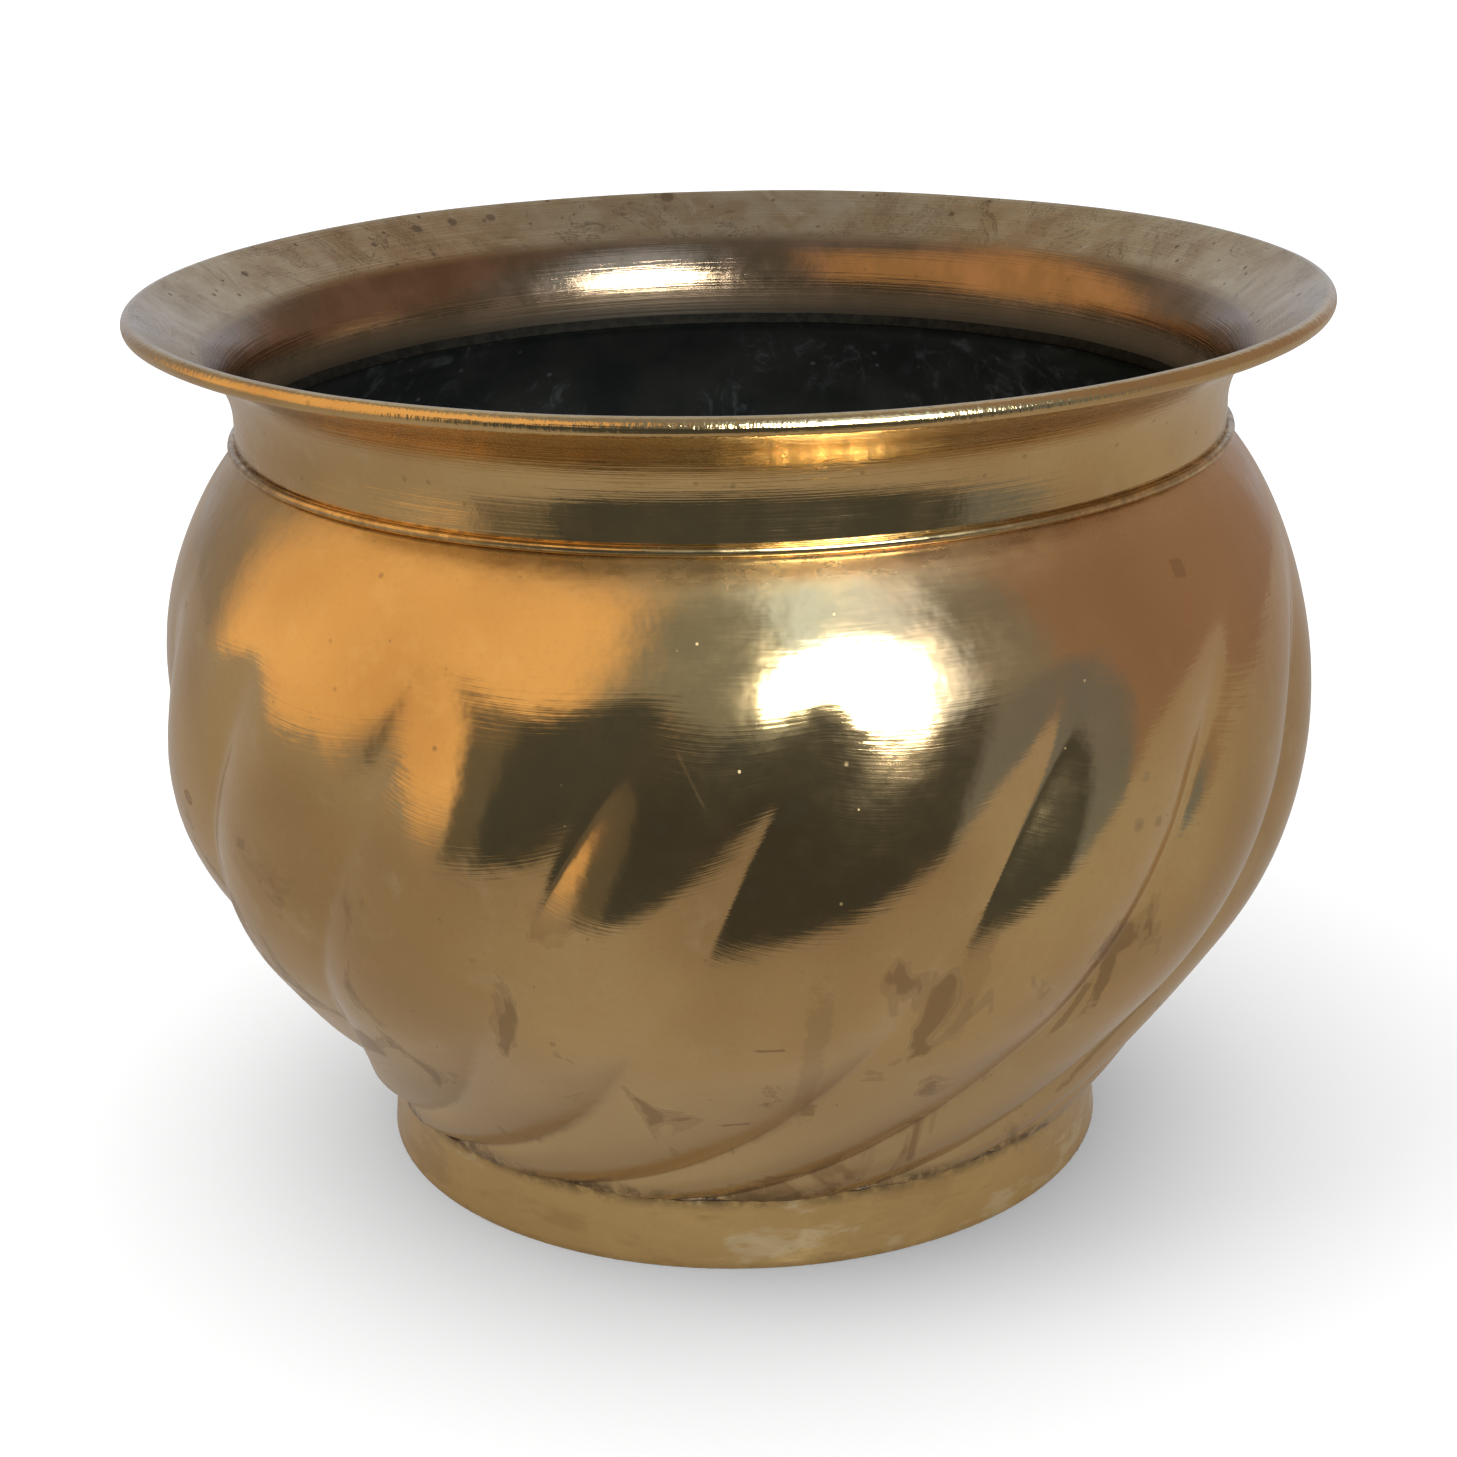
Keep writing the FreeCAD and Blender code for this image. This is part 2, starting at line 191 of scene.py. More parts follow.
def crest_radius(z):
    """Radius over the lobes' crests at height z."""
    rise = z - BELLY_HEIGHT
    if z > SHOULDER_TOP:
        share = (SHOULDER_TOP - BELLY_HEIGHT) / SHOULDER_RISE
        lean = SHOULDER_INSET * share / (SHOULDER_RISE * math.sqrt(1 - share * share))
        inward = crest_radius(SHOULDER_TOP) - MOUTH_RADIUS
        left = max(1 - (z - SHOULDER_TOP) * lean / (2 * inward), 0.0)
        return MOUTH_RADIUS + inward * left * left
    if rise >= 0:
        share = rise / SHOULDER_RISE
        return BELLY_RADIUS - SHOULDER_INSET * (1 - math.sqrt(1 - share * share))
    arc_drop = LOW_ARC_RADIUS * math.sin(FLANK)
    centre = BELLY_RADIUS - LOW_ARC_RADIUS
    if -rise <= arc_drop:
        return centre + math.sqrt(LOW_ARC_RADIUS ** 2 - rise ** 2)
    return centre + LOW_ARC_RADIUS * math.cos(FLANK) - (-rise - arc_drop) * math.tan(FLANK)


def lobe_depth(z):
    top_share = smoothstep((LOBE_TOP - z) / LOBE_FADE)
    base_share = smoothstep((z - BASE_HEIGHT) / LOBE_BASE_FADE)
    return (LOBE_BASE_DEPTH + (LOBE_DEPTH - LOBE_BASE_DEPTH) * base_share) * top_share


def swirl_angle(z):
    """Turn of the creases about the axis, as a polar angle in radians."""
    sweep = FOOT_SWEEP * math.exp(-z / FOOT_SWEEP_FADE)
    return math.radians(SWIRL_PHASE + SWIRL_RATE * z - sweep - 90.0)


def lobe_dip(across, z):
    """Share of the lobe's depth at a place across it, from -1 to 1: an arc whose creases are
    soft at their upper ends and sharper lower down."""
    soft = CREASE_SOFTNESS + (CREASE_TOP_SOFTNESS - CREASE_SOFTNESS) * smoothstep((z - 85.0) / 40.0)
    edge = 1 - abs(across)
    if edge > soft:
        return across * across
    return (1 - soft) * (1 - edge * edge / soft)


def lobe_columns(per_lobe):
    """Places round the bowl in lobes, crowded towards the creases."""
    crowding = 0.62
    places = []
    for lobe in range(LOBES):
        for i in range(per_lobe):
            share = i / per_lobe
            places.append(lobe + share - crowding * math.sin(2 * math.pi * share) / (2 * math.pi))
    return places


def crease_shift(place):
    """The creases were not set out evenly: turn in radians at a place between two of them."""
    lobe, share = int(place) % LOBES, smoothstep(place % 1.0)
    before, after = CREASE_SHIFTS[lobe], CREASE_SHIFTS[(lobe + 1) % LOBES]
    return math.radians(before + (after - before) * share)


def bowl_ring(z, inset, shrink, columns):
    """One ring of the bowl and how deep in a crease each point lies. shrink pulls it to the axis."""
    step = 0.05
    slope = (crest_radius(z + step) - crest_radius(z - step)) / (2 * step)
    crest = crest_radius(z) - inset * math.hypot(1.0, slope)
    start = swirl_angle(min(z, LOBE_TOP))
    ring, crease = [], []
    for place in columns:
        lobe = round(place) % LOBES
        angle = start + place * 2 * math.pi / LOBES + crease_shift(place)
        across = 2 * (place % 1.0) - 1
        depth = lobe_depth(z) * (1 + 0.10 * wobble(lobe * 29.0, z, 7.0, 70.0, 8.3))
        radius = crest - depth * lobe_dip(across, z)
        x, y = radius * math.cos(angle), radius * math.sin(angle)
        free = smoothstep((SHOULDER_TOP - z) / 8.0) * smoothstep((z - BASE_HEIGHT) / 6.0)
        radius += free * (0.16 * wobble(x, y, z, 30.0, 1.7) + 0.05 * wobble(x, y, z, 11.0, 5.2))
        radius *= shrink
        ring.append((radius * math.cos(angle), radius * math.sin(angle), z))
        crease.append(smoothstep((abs(across) - 0.72) / 0.28) * min(depth / LOBE_DEPTH, 1.0))
    return ring, crease


def build_bowl():
    """Sheet bowl in one closed skin: base, outside, top edge, inside and floor. Its top edge is
    at the seam, and the lap that the collar hides is left to the CAD."""
    columns = lobe_columns(24)
    outside_rows, inside_rows, lap_rows = 128, 44, 3
    crowding = 1.45
    floor = BASE_HEIGHT + SHEET
    wall = SHOULDER_TOP - BASE_HEIGHT
    up = [BASE_HEIGHT + wall * (i / outside_rows) ** crowding for i in range(outside_rows)]
    lap = [SHOULDER_TOP + (SEAM_HEIGHT - SHOULDER_TOP) * i / lap_rows for i in range(lap_rows + 1)]
    down = [floor + (SHOULDER_TOP - floor) * (i / inside_rows) ** crowding for i in range(inside_rows)]
    base_shares = (0.02, 0.4, 0.75, 0.93)
    rows = [(BASE_HEIGHT, 0.0, share) for share in base_shares]
    rows += [(z, 0.0, 1.0) for z in up + lap]
    rows += [(z, SHEET, 1.0) for z in reversed(down + lap)]
    rows += [(floor, SHEET, share) for share in reversed(base_shares)]
    made = [bowl_ring(z, inset, shrink, columns) for z, inset, shrink in rows]
    inner = [[1.0 if inset or z > SHOULDER_TOP else 0.0] * len(columns) for z, inset, shrink in rows]
    values = {"crease": [crease for ring, crease in made], "inner": inner}
    bowl = mesh_from_rings("bowl_skin", [ring for ring, crease in made], False, values)
    bowl.data.set_sharp_from_angle(angle=math.radians(50))
    return bowl


# ---------------------------------------------------------------- neck collar and foot

def collar_outline():
    """Half-section of the collar: up the inside, over the lip and the roll, down the outside."""
    lip_normal = (-math.sin(LIP), math.cos(LIP))
    roll_centre = (RIM_RADIUS - ROLL_RADIUS, HEIGHT - ROLL_RADIUS)
    lip_start = math.pi / 2 + LIP
    wire_tangent = tuple(c + WIRE_RADIUS * n for c, n in zip(roll_centre, lip_normal))
    lip_tangent = tuple(c + ROLL_RADIUS * n for c, n in zip(roll_centre, lip_normal))
    flare_end_radius = WAIST_RADIUS + FLARE_RADIUS * (1 - math.sin(LIP))
    flare_end = (flare_end_radius,
                 wire_tangent[1] - (wire_tangent[0] - flare_end_radius) * math.tan(LIP))
    flare_centre = (WAIST_RADIUS + FLARE_RADIUS, flare_end[1] - FLARE_RADIUS * math.cos(LIP))
    inner_flare = FLARE_RADIUS + SHEET
    inner_flare_end = tuple(c + inner_flare * n for c, n in zip(flare_centre, lip_normal))
    bead_end = (WAIST_RADIUS, BEAD_TOP)
    chord = math.dist(COLLAR_EDGE, bead_end)
    reach = math.sqrt(BEAD_RADIUS ** 2 - chord ** 2 / 4)
    along = tuple((b - a) / chord for a, b in zip(COLLAR_EDGE, bead_end))
    bead_centre = ((COLLAR_EDGE[0] + bead_end[0]) / 2 + reach * along[1],
                   (COLLAR_EDGE[1] + bead_end[1]) / 2 - reach * along[0])
    bead_first = math.atan2(COLLAR_EDGE[1] - bead_centre[1], COLLAR_EDGE[0] - bead_centre[0])
    bead_last = math.atan2(bead_end[1] - bead_centre[1], bead_end[0] - bead_centre[0])
    inner_foot = (WAIST_RADIUS - SHEET, COLLAR_INNER_END)
    outline = straight(inner_foot, (inner_foot[0], flare_centre[1]), WALL_STEPS)
    outline += arc(flare_centre, inner_flare, math.pi, lip_start, FLARE_STEPS)
    outline += straight(inner_flare_end, lip_tangent, LIP_STEPS)[1:]
    outline += arc(roll_centre, ROLL_RADIUS, lip_start, ROLL_END - 2 * math.pi, ROLL_STEPS)
    outline += arc(roll_centre, WIRE_RADIUS, ROLL_END - 2 * math.pi, lip_start, WIRE_STEPS)
    outline += straight(wire_tangent, flare_end, 6)[1:]
    outline += arc(flare_centre, FLARE_RADIUS, lip_start, math.pi, FLARE_STEPS)
    outline += straight((WAIST_RADIUS, flare_centre[1]), bead_end, WALL_STEPS)[1:]
    outline += arc(bead_centre, BEAD_RADIUS, bead_last, bead_first, BEAD_STEPS)
    return outline


def collar_shape(radius, height, angle):
    """The lip runs a little out of true, most at the rolled edge."""
    out = smoothstep((height - MOUTH_HEIGHT) / (HEIGHT - MOUTH_HEIGHT))
    x, y = 100.0 * math.cos(angle), 100.0 * math.sin(angle)
    radius += 0.30 * out * wobble(x, y, 0.0, 75.0, 2.2) - 0.25 * out
    height += 0.40 * out * (wobble(x, y, 0.0, 90.0, 6.4) + 0.3 * wobble(x, y, 0.0, 22.0, 9.1)) - 0.3 * out
    return radius, height


def build_collar():
    collar = turned_piece("neck_collar_skin", collar_outline(), 400, collar_shape)
    collar.data.set_sharp_from_angle(angle=math.radians(40))
    return collar


def waisted(low, high, radius, steps):
    """Arc from low to high, its hollow side outward."""
    chord = math.dist(low, high)
    along = tuple((b - a) / chord for a, b in zip(low, high))
    reach = math.sqrt(radius ** 2 - chord ** 2 / 4)
    centre = ((low[0] + high[0]) / 2 + reach * along[1], (low[1] + high[1]) / 2 - reach * along[0])
    first = math.atan2(low[1] - centre[1], low[0] - centre[0]) % (2 * math.pi)
    last = math.atan2(high[1] - centre[1], high[0] - centre[0]) % (2 * math.pi)
    return arc(centre, radius, first, last, steps)


def foot_outline():
    """Half-section of the foot: up the outside, in over the flange, down the inside, along the hem."""
    band = FOOT_SHEET
    edge = 0.35
    hem_inner = FOOT_RADIUS - HEM_WIDTH
    outline = [(FOOT_RADIUS - edge, 0.0), (FOOT_RADIUS - 0.3 * edge, 0.3 * edge)]
    outline += waisted((FOOT_RADIUS, edge), (FOOT_TOP_RADIUS, BASE_HEIGHT), FOOT_CURVE_RADIUS, 18)
    outline += [(FLANGE_RADIUS, BASE_HEIGHT), (FLANGE_RADIUS, BASE_HEIGHT - band)]
    inside = waisted((FOOT_RADIUS - band, band), (FOOT_TOP_RADIUS - band, BASE_HEIGHT - band),
                     FOOT_CURVE_RADIUS + band, 12)
    outline += inside[::-1]
    outline += [(hem_inner, band), (hem_inner, 0.0)]
    return outline


def foot_shape(radius, height, angle):
    """Hand-worked band: slightly out of round between its two flat edges."""
    free = 4 * (height / BASE_HEIGHT) * (1 - height / BASE_HEIGHT)
    x, y = 70.0 * math.cos(angle), 70.0 * math.sin(angle)
    return radius + 0.22 * free * wobble(x, y, height, 24.0, 4.4), height


def build_foot():
    foot = turned_piece("foot_ring_skin", foot_outline(), 400, foot_shape)
    foot.data.set_sharp_from_angle(angle=math.radians(40))
    return foot


def neck_solder_outline():
    """Half-section of the solder inside the seam, from the collar's wall down to the bowl's edge."""
    wall = WAIST_RADIUS - SHEET
    edge = MOUTH_RADIUS - SHEET
    top, bottom = SEAM_HEIGHT + 1.9, SEAM_HEIGHT - 0.5
    return [(wall + 0.2, top), (wall - 0.05, top - 0.4), (edge + 0.25, SEAM_HEIGHT + 0.5),
            (edge - 0.05, bottom + 0.3), (edge - 0.05, bottom), (wall + 0.2, SEAM_HEIGHT - 0.2)]


def neck_solder_shape(radius, height, angle):
    """The solder was wiped round by hand, and is thicker in places."""
    x, y = WAIST_RADIUS * math.cos(angle), WAIST_RADIUS * math.sin(angle)
    return radius, height + 0.15 * wobble(x, y, 0.0, 11.0, 3.3)


def build_neck_solder():
    return turned_piece("neck_solder_line", neck_solder_outline(), 360, neck_solder_shape)


def foot_solder_outline():
    """Bead of solder and dirt in the corner under the bowl, as (out from the foot, below the bowl)."""
    return [(-0.3, -0.15), (-0.3, 1.0), (0.12, 0.95), (0.45, 0.62), (0.78, 0.36), (1.05, 0.1), (1.0, -0.15)]


def foot_solder_shape(radius, height, angle):
    """The bead swells and thins as it runs round, and follows the ends of the lobes."""
    x, y = 72.0 * math.cos(angle), 72.0 * math.sin(angle)
    size = 1.0 + 0.45 * wobble(x, y, 0.0, 9.0, 7.7) + 0.25 * wobble(x, y, 0.0, 3.0, 2.9)
    lobe = math.cos((angle - swirl_angle(BASE_HEIGHT)) * LOBES)
    size -= 0.22 * lobe
    out = FOOT_TOP_RADIUS + radius * (size if radius > 0 else 1.0)
    below = height * (size if height > 0 else 1.0)
    return out, BASE_HEIGHT - below


def build_foot_solder():
    return turned_piece("foot_solder_bead", foot_solder_outline(), 720, foot_solder_shape)


# ---------------------------------------------------------------- shader nodes

class Nodes:
    """Short names for the shader nodes that the materials are made of."""

    def __init__(self, tree):
        self.tree = tree
        tree.nodes.clear()

    def add(self, kind, inputs=None, **settings):
        made = self.tree.nodes.new("ShaderNode" + kind)
        for key, value in settings.items():
            setattr(made, key, value)
        for key, value in (inputs or {}).items():
            self.feed(made.inputs[key], value)
        return made

    def feed(self, socket, value):
        if isinstance(value, bpy.types.NodeSocket):
            self.tree.links.new(value, socket)
        elif value is not None:
            socket.default_value = value

    def math(self, operation, first, second=None):
        inputs = {0: first} if second is None else {0: first, 1: second}
        return self.add("Math", inputs, operation=operation).outputs[0]

    def mix(self, share, first, second):
        return self.add("Mix", {0: share, 6: first, 7: second}, data_type="RGBA").outputs[2]

    def blend(self, share, first, second):
        return self.add("Mix", {0: share, 2: first, 3: second}, data_type="FLOAT").outputs[0]

    def step(self, value, low, high):
        """0 below low and 1 above high, smooth between; low above high turns it round."""
        made = self.add("MapRange", {0: value, 1: low, 2: high, 3: 0.0, 4: 1.0},
                        interpolation_type="SMOOTHSTEP")
        return made.outputs[0]

    def band(self, value, low, high, soft):
        """1 between low and high, with soft edges outside them."""
        return self.math("MULTIPLY", self.step(value, low - soft, low), self.step(value, high + soft, high))

    def scaled(self, vector, x, y, z):
        made = self.add("VectorMath", {0: vector, 1: (x, y, z)}, operation="MULTIPLY")
        return made.outputs[0]

    def noise(self, vector, scale, detail=3.0, rough=0.55, distortion=0.0):
        made = self.add("TexNoise", {"Vector": vector, "Scale": scale, "Detail": detail,
                                     "Roughness": rough, "Distortion": distortion})
        return made.outputs["Fac"]

    def cells(self, vector, scale):
        return self.add("TexVoronoi", {"Vector": vector, "Scale": scale}, feature="F1").outputs

    def attribute(self, name):
        return self.add("Attribute", attribute_name=name).outputs["Fac"]

    def bump(self, height, distance, normal=None):
        inputs = {"Height": height, "Distance": distance, "Strength": 1.0}
        made = self.add("Bump", inputs)
        self.feed(made.inputs["Normal"], normal)
        return made.outputs[0]

    def product(self, *values):
        made = values[0]
        for value in values[1:]:
            made = self.math("MULTIPLY", made, value)
        return made

    def most(self, *values):
        made = values[0]
        for value in values[1:]:
            made = self.math("MAXIMUM", made, value)
        return made


class Place:
    """Where a shaded point is, in millimetres: the point, its height, radius and azimuth."""

    def __init__(self, n):
        self.n = n
        coordinate = n.add("TexCoord").outputs["Object"]
        self.point = n.add("VectorMath", {0: coordinate, 3: 1 / MM}, operation="SCALE").outputs[0]
        parts = n.add("SeparateXYZ", {0: self.point}).outputs
        self.x, self.y, self.z = parts[0], parts[1], parts[2]
        flat = n.add("CombineXYZ", {0: self.x, 1: self.y}).outputs[0]
        self.radius = n.add("VectorMath", {0: flat}, operation="LENGTH").outputs["Value"]
        turn = n.math("ARCTAN2", self.x, n.math("MULTIPLY", self.y, -1.0))
        self.azimuth = n.math("DEGREES", turn)

    def streaks(self, fine, stretch):
        """Noise drawn out round the pot: fine features per millimetre across the lines."""
        n = self.n
        across = n.math("MULTIPLY", n.math("ADD", self.z, self.radius), fine)
        along = n.add("CombineXYZ", {0: n.math("MULTIPLY", self.x, fine / stretch),
                                     1: n.math("MULTIPLY", self.y, fine / stretch),
                                     2: across}).outputs[0]
        return n.noise(along, 1.0, 2.0, 0.5)

    def run(self, azimuth, z, wide, high, lean):
        """Mask of a ragged run or smudge on the bowl."""
        n = self.n
        turn = n.math("SUBTRACT", self.azimuth, azimuth)
        across = n.math("MULTIPLY", turn, math.radians(1.0) * crest_radius(z))
        rise = n.math("SUBTRACT", self.z, z)
        across = n.math("SUBTRACT", across, n.math("MULTIPLY", rise, lean))
        ragged = n.math("MULTIPLY", n.math("SUBTRACT", n.noise(self.point, 0.28, 4.0, 0.65), 0.5), 1.6)
        across = n.math("ADD", n.math("ABSOLUTE", across), n.math("MULTIPLY", ragged, wide))
        rise = n.math("ADD", n.math("ABSOLUTE", rise), n.math("MULTIPLY", ragged, high))
        return n.product(n.step(across, wide, wide * 0.6), n.step(rise, high, high * 0.7))

    def distance_to(self, azimuth, z, radius):
        """Distance from a mark on the surface, given by its azimuth, height and radius."""
        turn = math.radians(azimuth)
        mark = (radius * math.sin(turn), -radius * math.cos(turn), z)
        made = self.n.add("VectorMath", {0: self.point, 1: mark}, operation="DISTANCE")
        return made.outputs["Value"]


def new_material(name):
    material = bpy.data.materials.new(name)
    material.use_nodes = True
    return material, Nodes(material.node_tree)


def finish_material(n, colour, roughness, normal, metallic=1.0, specular=0.5):
    shader = n.add("BsdfPrincipled", {"Base Color": colour, "Metallic": metallic, "Roughness": roughness,
                                      "Normal": normal, "Specular IOR Level": specular})
    output = n.add("OutputMaterial")
    n.tree.links.new(shader.outputs[0], output.inputs[0])


# ---------------------------------------------------------------- materials

BRASS = (0.66, 0.47, 0.215, 1.0)
BRASS_BROWN = (0.50, 0.335, 0.15, 1.0)
BRASS_RED = (0.60, 0.36, 0.17, 1.0)
BRASS_PALE = (0.70, 0.56, 0.33, 1.0)
TARNISH = (0.30, 0.20, 0.10, 1.0)
DIRT = (0.075, 0.05, 0.028, 1.0)
SEAM_DARK = (0.017, 0.015, 0.012, 1.0)
STAIN = (0.25, 0.155, 0.075, 1.0)
INNER_BROWN = (0.20, 0.138, 0.080, 1.0)


def brass_tones(n, place):
    """Brass that has dulled unevenly: broad warm and pale areas and finer mottling. Gives the
    tone and the mottling."""
    broad = n.noise(place.point, 0.018, 2.0)
    mottle = n.noise(place.point, 0.11, 5.0, 0.62)
    fine = n.noise(place.point, 0.9, 3.0, 0.6)
    tone = n.mix(n.step(broad, 0.35, 0.68), BRASS, BRASS_BROWN)
    tone = n.mix(n.math("MULTIPLY", n.step(mottle, 0.5, 0.75), 0.35), tone, BRASS_RED)
    tone = n.mix(n.math("MULTIPLY", n.step(mottle, 0.48, 0.25), 0.30), tone, BRASS_PALE)
    return n.mix(n.math("MULTIPLY", n.step(fine, 0.5, 0.8), 0.14), tone, TARNISH), mottle


def specks(n, place, scale, size, share):
    """Scattered small round spots, of which only a share is kept."""
    cell = n.cells(place.point, scale)
    kept = n.add("SeparateColor", {0: cell["Color"]}).outputs[0]
    spot = n.step(cell["Distance"], size, size * 0.45)
    return n.math("MULTIPLY", spot, n.math("LESS_THAN", kept, share))


def bowl_brass():
    material, n = new_material("bowl_brass_worn")
    place = Place(n)
    tone, mottle = brass_tones(n, place)
    crease = n.attribute("crease")
    inner = n.attribute("inner")
    edge_noise = n.noise(place.point, 0.35, 4.0, 0.65)
    rings = place.streaks(2.6, 90.0)
    brushed = place.streaks(9.0, 60.0)

    dull = n.step(place.z, 75.0, 30.0)
    tone = n.mix(n.math("MULTIPLY", dull, 0.45), tone, (0.60, 0.47, 0.27, 1.0))
    # Coppery tone over the upper right front of the bowl: a painted warm reflection, fixed in the colour.
    copper_painted_reflection = n.product(n.step(place.z, 92.0, 122.0), n.band(place.azimuth, 18.0, 95.0, 14.0))
    tone = n.mix(n.math("MULTIPLY", copper_painted_reflection, 0.5), tone, (0.62, 0.36, 0.18, 1.0))

    in_crease = n.math("MULTIPLY", n.step(crease, 0.55, 1.0), n.step(edge_noise, 0.35, 0.62))
    low_crease = n.math("MULTIPLY", in_crease, n.step(place.z, 60.0, 25.0))
    tone = n.mix(n.math("MULTIPLY", low_crease, 0.30), tone, TARNISH)
    under_bead = n.product(n.step(place.z, 139.4, 141.2), n.step(edge_noise, 0.40, 0.66))
    at_foot = n.product(n.step(place.z, 19.0, 15.3), n.step(edge_noise, 0.34, 0.62))
    grime = n.most(n.math("MULTIPLY", under_bead, 0.25), n.math("MULTIPLY", at_foot, 0.8))
    tone = n.mix(grime, tone, DIRT)
    spots = n.most(specks(n, place, 0.12, 0.10, 0.22), specks(n, place, 0.32, 0.12, 0.12))
    tone = n.mix(n.math("MULTIPLY", spots, 0.5), tone, TARNISH)
    stains, stain_edges = bowl_stains(n, place)
    tone = n.mix(n.math("MULTIPLY", stains, 0.60), tone, STAIN)
    tone = n.mix(n.math("MULTIPLY", stain_edges, 0.55), tone, TARNISH)

    rough = n.blend(n.step(mottle, 0.30, 0.75), 0.09, 0.16)
    rough = n.math("ADD", rough, n.math("MULTIPLY", dull, 0.08))
    rough = n.math("ADD", rough, n.math("MULTIPLY", n.step(place.z, 131.0, 139.0), 0.16))
    rough = n.math("ADD", rough, n.math("MULTIPLY", n.math("SUBTRACT", brushed, 0.5), 0.08))
    rough = n.blend(n.most(grime, spots, stain_edges, n.math("MULTIPLY", stains, 0.4)), rough, 0.42)

    inside_tone, inside_rough = patina(n, place)
    tone = n.mix(inner, tone, inside_tone)
    rough = n.blend(inner, rough, inside_rough)
    black = n.math("MULTIPLY", inner, n.step(place.z, 142.5, 139.0))
    metal = n.math("SUBTRACT", 1.0, n.math("MULTIPLY", black, 0.75))

    normal = n.bump(rings, 0.000018)
    normal = n.bump(brushed, 0.000005, normal)
    normal = n.bump(n.noise(place.point, 0.10, 3.0, 0.5), 0.00016, normal)
    finish_material(n, tone, rough, normal, metal)
    return material


def patina(n, place):
    """Near-black inside of the bowl, with patches of limescale and splashes."""
    cloud = n.noise(place.point, 0.05, 5.0, 0.6)
    tone = n.mix(n.step(cloud, 0.35, 0.7), (0.022, 0.026, 0.022, 1.0), (0.052, 0.052, 0.042, 1.0))
    patch = n.step(n.noise(place.point, 0.032, 2.0), 0.44, 0.60)
    ragged = n.noise(n.scaled(place.point, 0.11, 0.11, 0.06), 1.0, 6.0, 0.75, 1.5)
    scale = n.product(patch, n.step(ragged, 0.50, 0.70), n.step(place.z, 60.0, 110.0))
    dots = specks(n, place, 0.22, 0.16, 0.25)
    pale = n.most(n.math("MULTIPLY", scale, 0.45), n.math("MULTIPLY", dots, 0.4))
    tone = n.mix(pale, tone, (0.26, 0.28, 0.29, 1.0))
    return tone, n.blend(pale, n.blend(cloud, 0.38, 0.55), 0.75)


def bowl_stains(n, place):
    """Water marks and drips on the bowl: filled areas and their darker outlines."""
    areas, edges = [], []
    for azimuth, z, size in WATER_MARKS:
        away = place.distance_to(azimuth, z, crest_radius(z) - 0.4)
        away = n.math("ADD", away, n.math("MULTIPLY", n.noise(place.point, 0.5, 2.0), 1.2))
        edges.append(n.band(away, size, size + 0.25, 0.5))
        areas.append(n.step(away, size, size - 0.6))
    for azimuth, z, wide, high, lean, strength in RUNS:
        areas.append(n.math("MULTIPLY", place.run(azimuth, z, wide, high, lean), strength))
    cloud = n.noise(n.scaled(place.point, 0.05, 0.05, 0.032), 1.0, 4.0, 0.6, 0.6)
    pool = n.product(n.step(cloud, 0.60, 0.64), n.step(place.z, 92.0, 70.0))
    rim = n.product(n.band(cloud, 0.595, 0.605, 0.012), n.step(place.z, 92.0, 70.0))
    areas.append(pool)
    edges.append(n.math("MULTIPLY", rim, 0.55))
    return n.most(*areas), n.most(*edges)


# middle of each run or smudge as azimuth in degrees and height, then half its width and height,
# how far it leans to the right for each millimetre it rises, and how strongly it shows
RUNS = (
    (37.5, 64.0, 1.6, 11.0, 0.10, 1.0),
    (35.0, 56.0, 1.0, 6.0, 0.35, 0.8),
    (43.0, 33.0, 1.4, 9.0, 0.9, 0.9),
    (50.0, 38.0, 1.2, 10.0, 0.8, 0.7),
    (6.5, 56.0, 2.4, 17.0, 0.05, 0.35),
    (7.0, 40.5, 1.6, 1.6, 0.0, 0.8),
    (2.5, 59.5, 2.6, 0.35, 0.0, 1.0),
    (-1.0, 39.0, 3.4, 0.35, 0.0, 1.0),
    (-4.0, 109.0, 0.3, 5.0, -0.5, 0.8),
    (21.0, 70.0, 3.0, 14.0, 0.25, 0.30),
    (-52.0, 84.0, 1.8, 1.2, 0.3, 0.7),
    (140.0, 60.0, 1.8, 15.0, 0.2, 0.8),
    (-145.0, 48.0, 2.2, 12.0, 0.3, 0.7),
    (48.0, 130.0, 2.0, 1.6, 0.2, 0.6),
)

# azimuth in degrees, height and size in millimetres of each ring that a drop left on the bowl
WATER_MARKS = (
    (37.0, 92.0, 1.3),
    (40.0, 91.0, 1.2),
    (38.0, 100.0, 1.0),
    (42.0, 80.0, 1.4),
    (-66.0, 84.0, 1.8),
    (118.0, 84.0, 1.5),
    (170.0, 88.0, 2.2),
)

# azimuth in degrees, distance from the axis and size in millimetres of each dark spot on the lip
LIP_SPOTS = (
    (-141.0, 105.5, 1.5),
    (-146.0, 106.0, 1.4),
    (-151.0, 106.0, 1.4),
    (-134.0, 103.5, 0.9),
    (-173.0, 108.0, 2.0),
    (-112.0, 104.0, 1.0),
    (152.0, 104.5, 0.9),
    (118.0, 103.5, 0.8),
    (64.0, 105.5, 1.1),
)


def lip_spots(n, place):
    """Mask of the dark spots, each set on the lip's slope."""
    sag = 0.3
    top_radius = RIM_RADIUS - ROLL_RADIUS - ROLL_RADIUS * math.sin(LIP)
    top = HEIGHT - ROLL_RADIUS + ROLL_RADIUS * math.cos(LIP) - sag
    masks = []
    for azimuth, radius, size in LIP_SPOTS:
        away = place.distance_to(azimuth, top - (top_radius - radius) * math.tan(LIP), radius)
        masks.append(n.step(away, size, size * 0.6))
    return n.most(*masks)


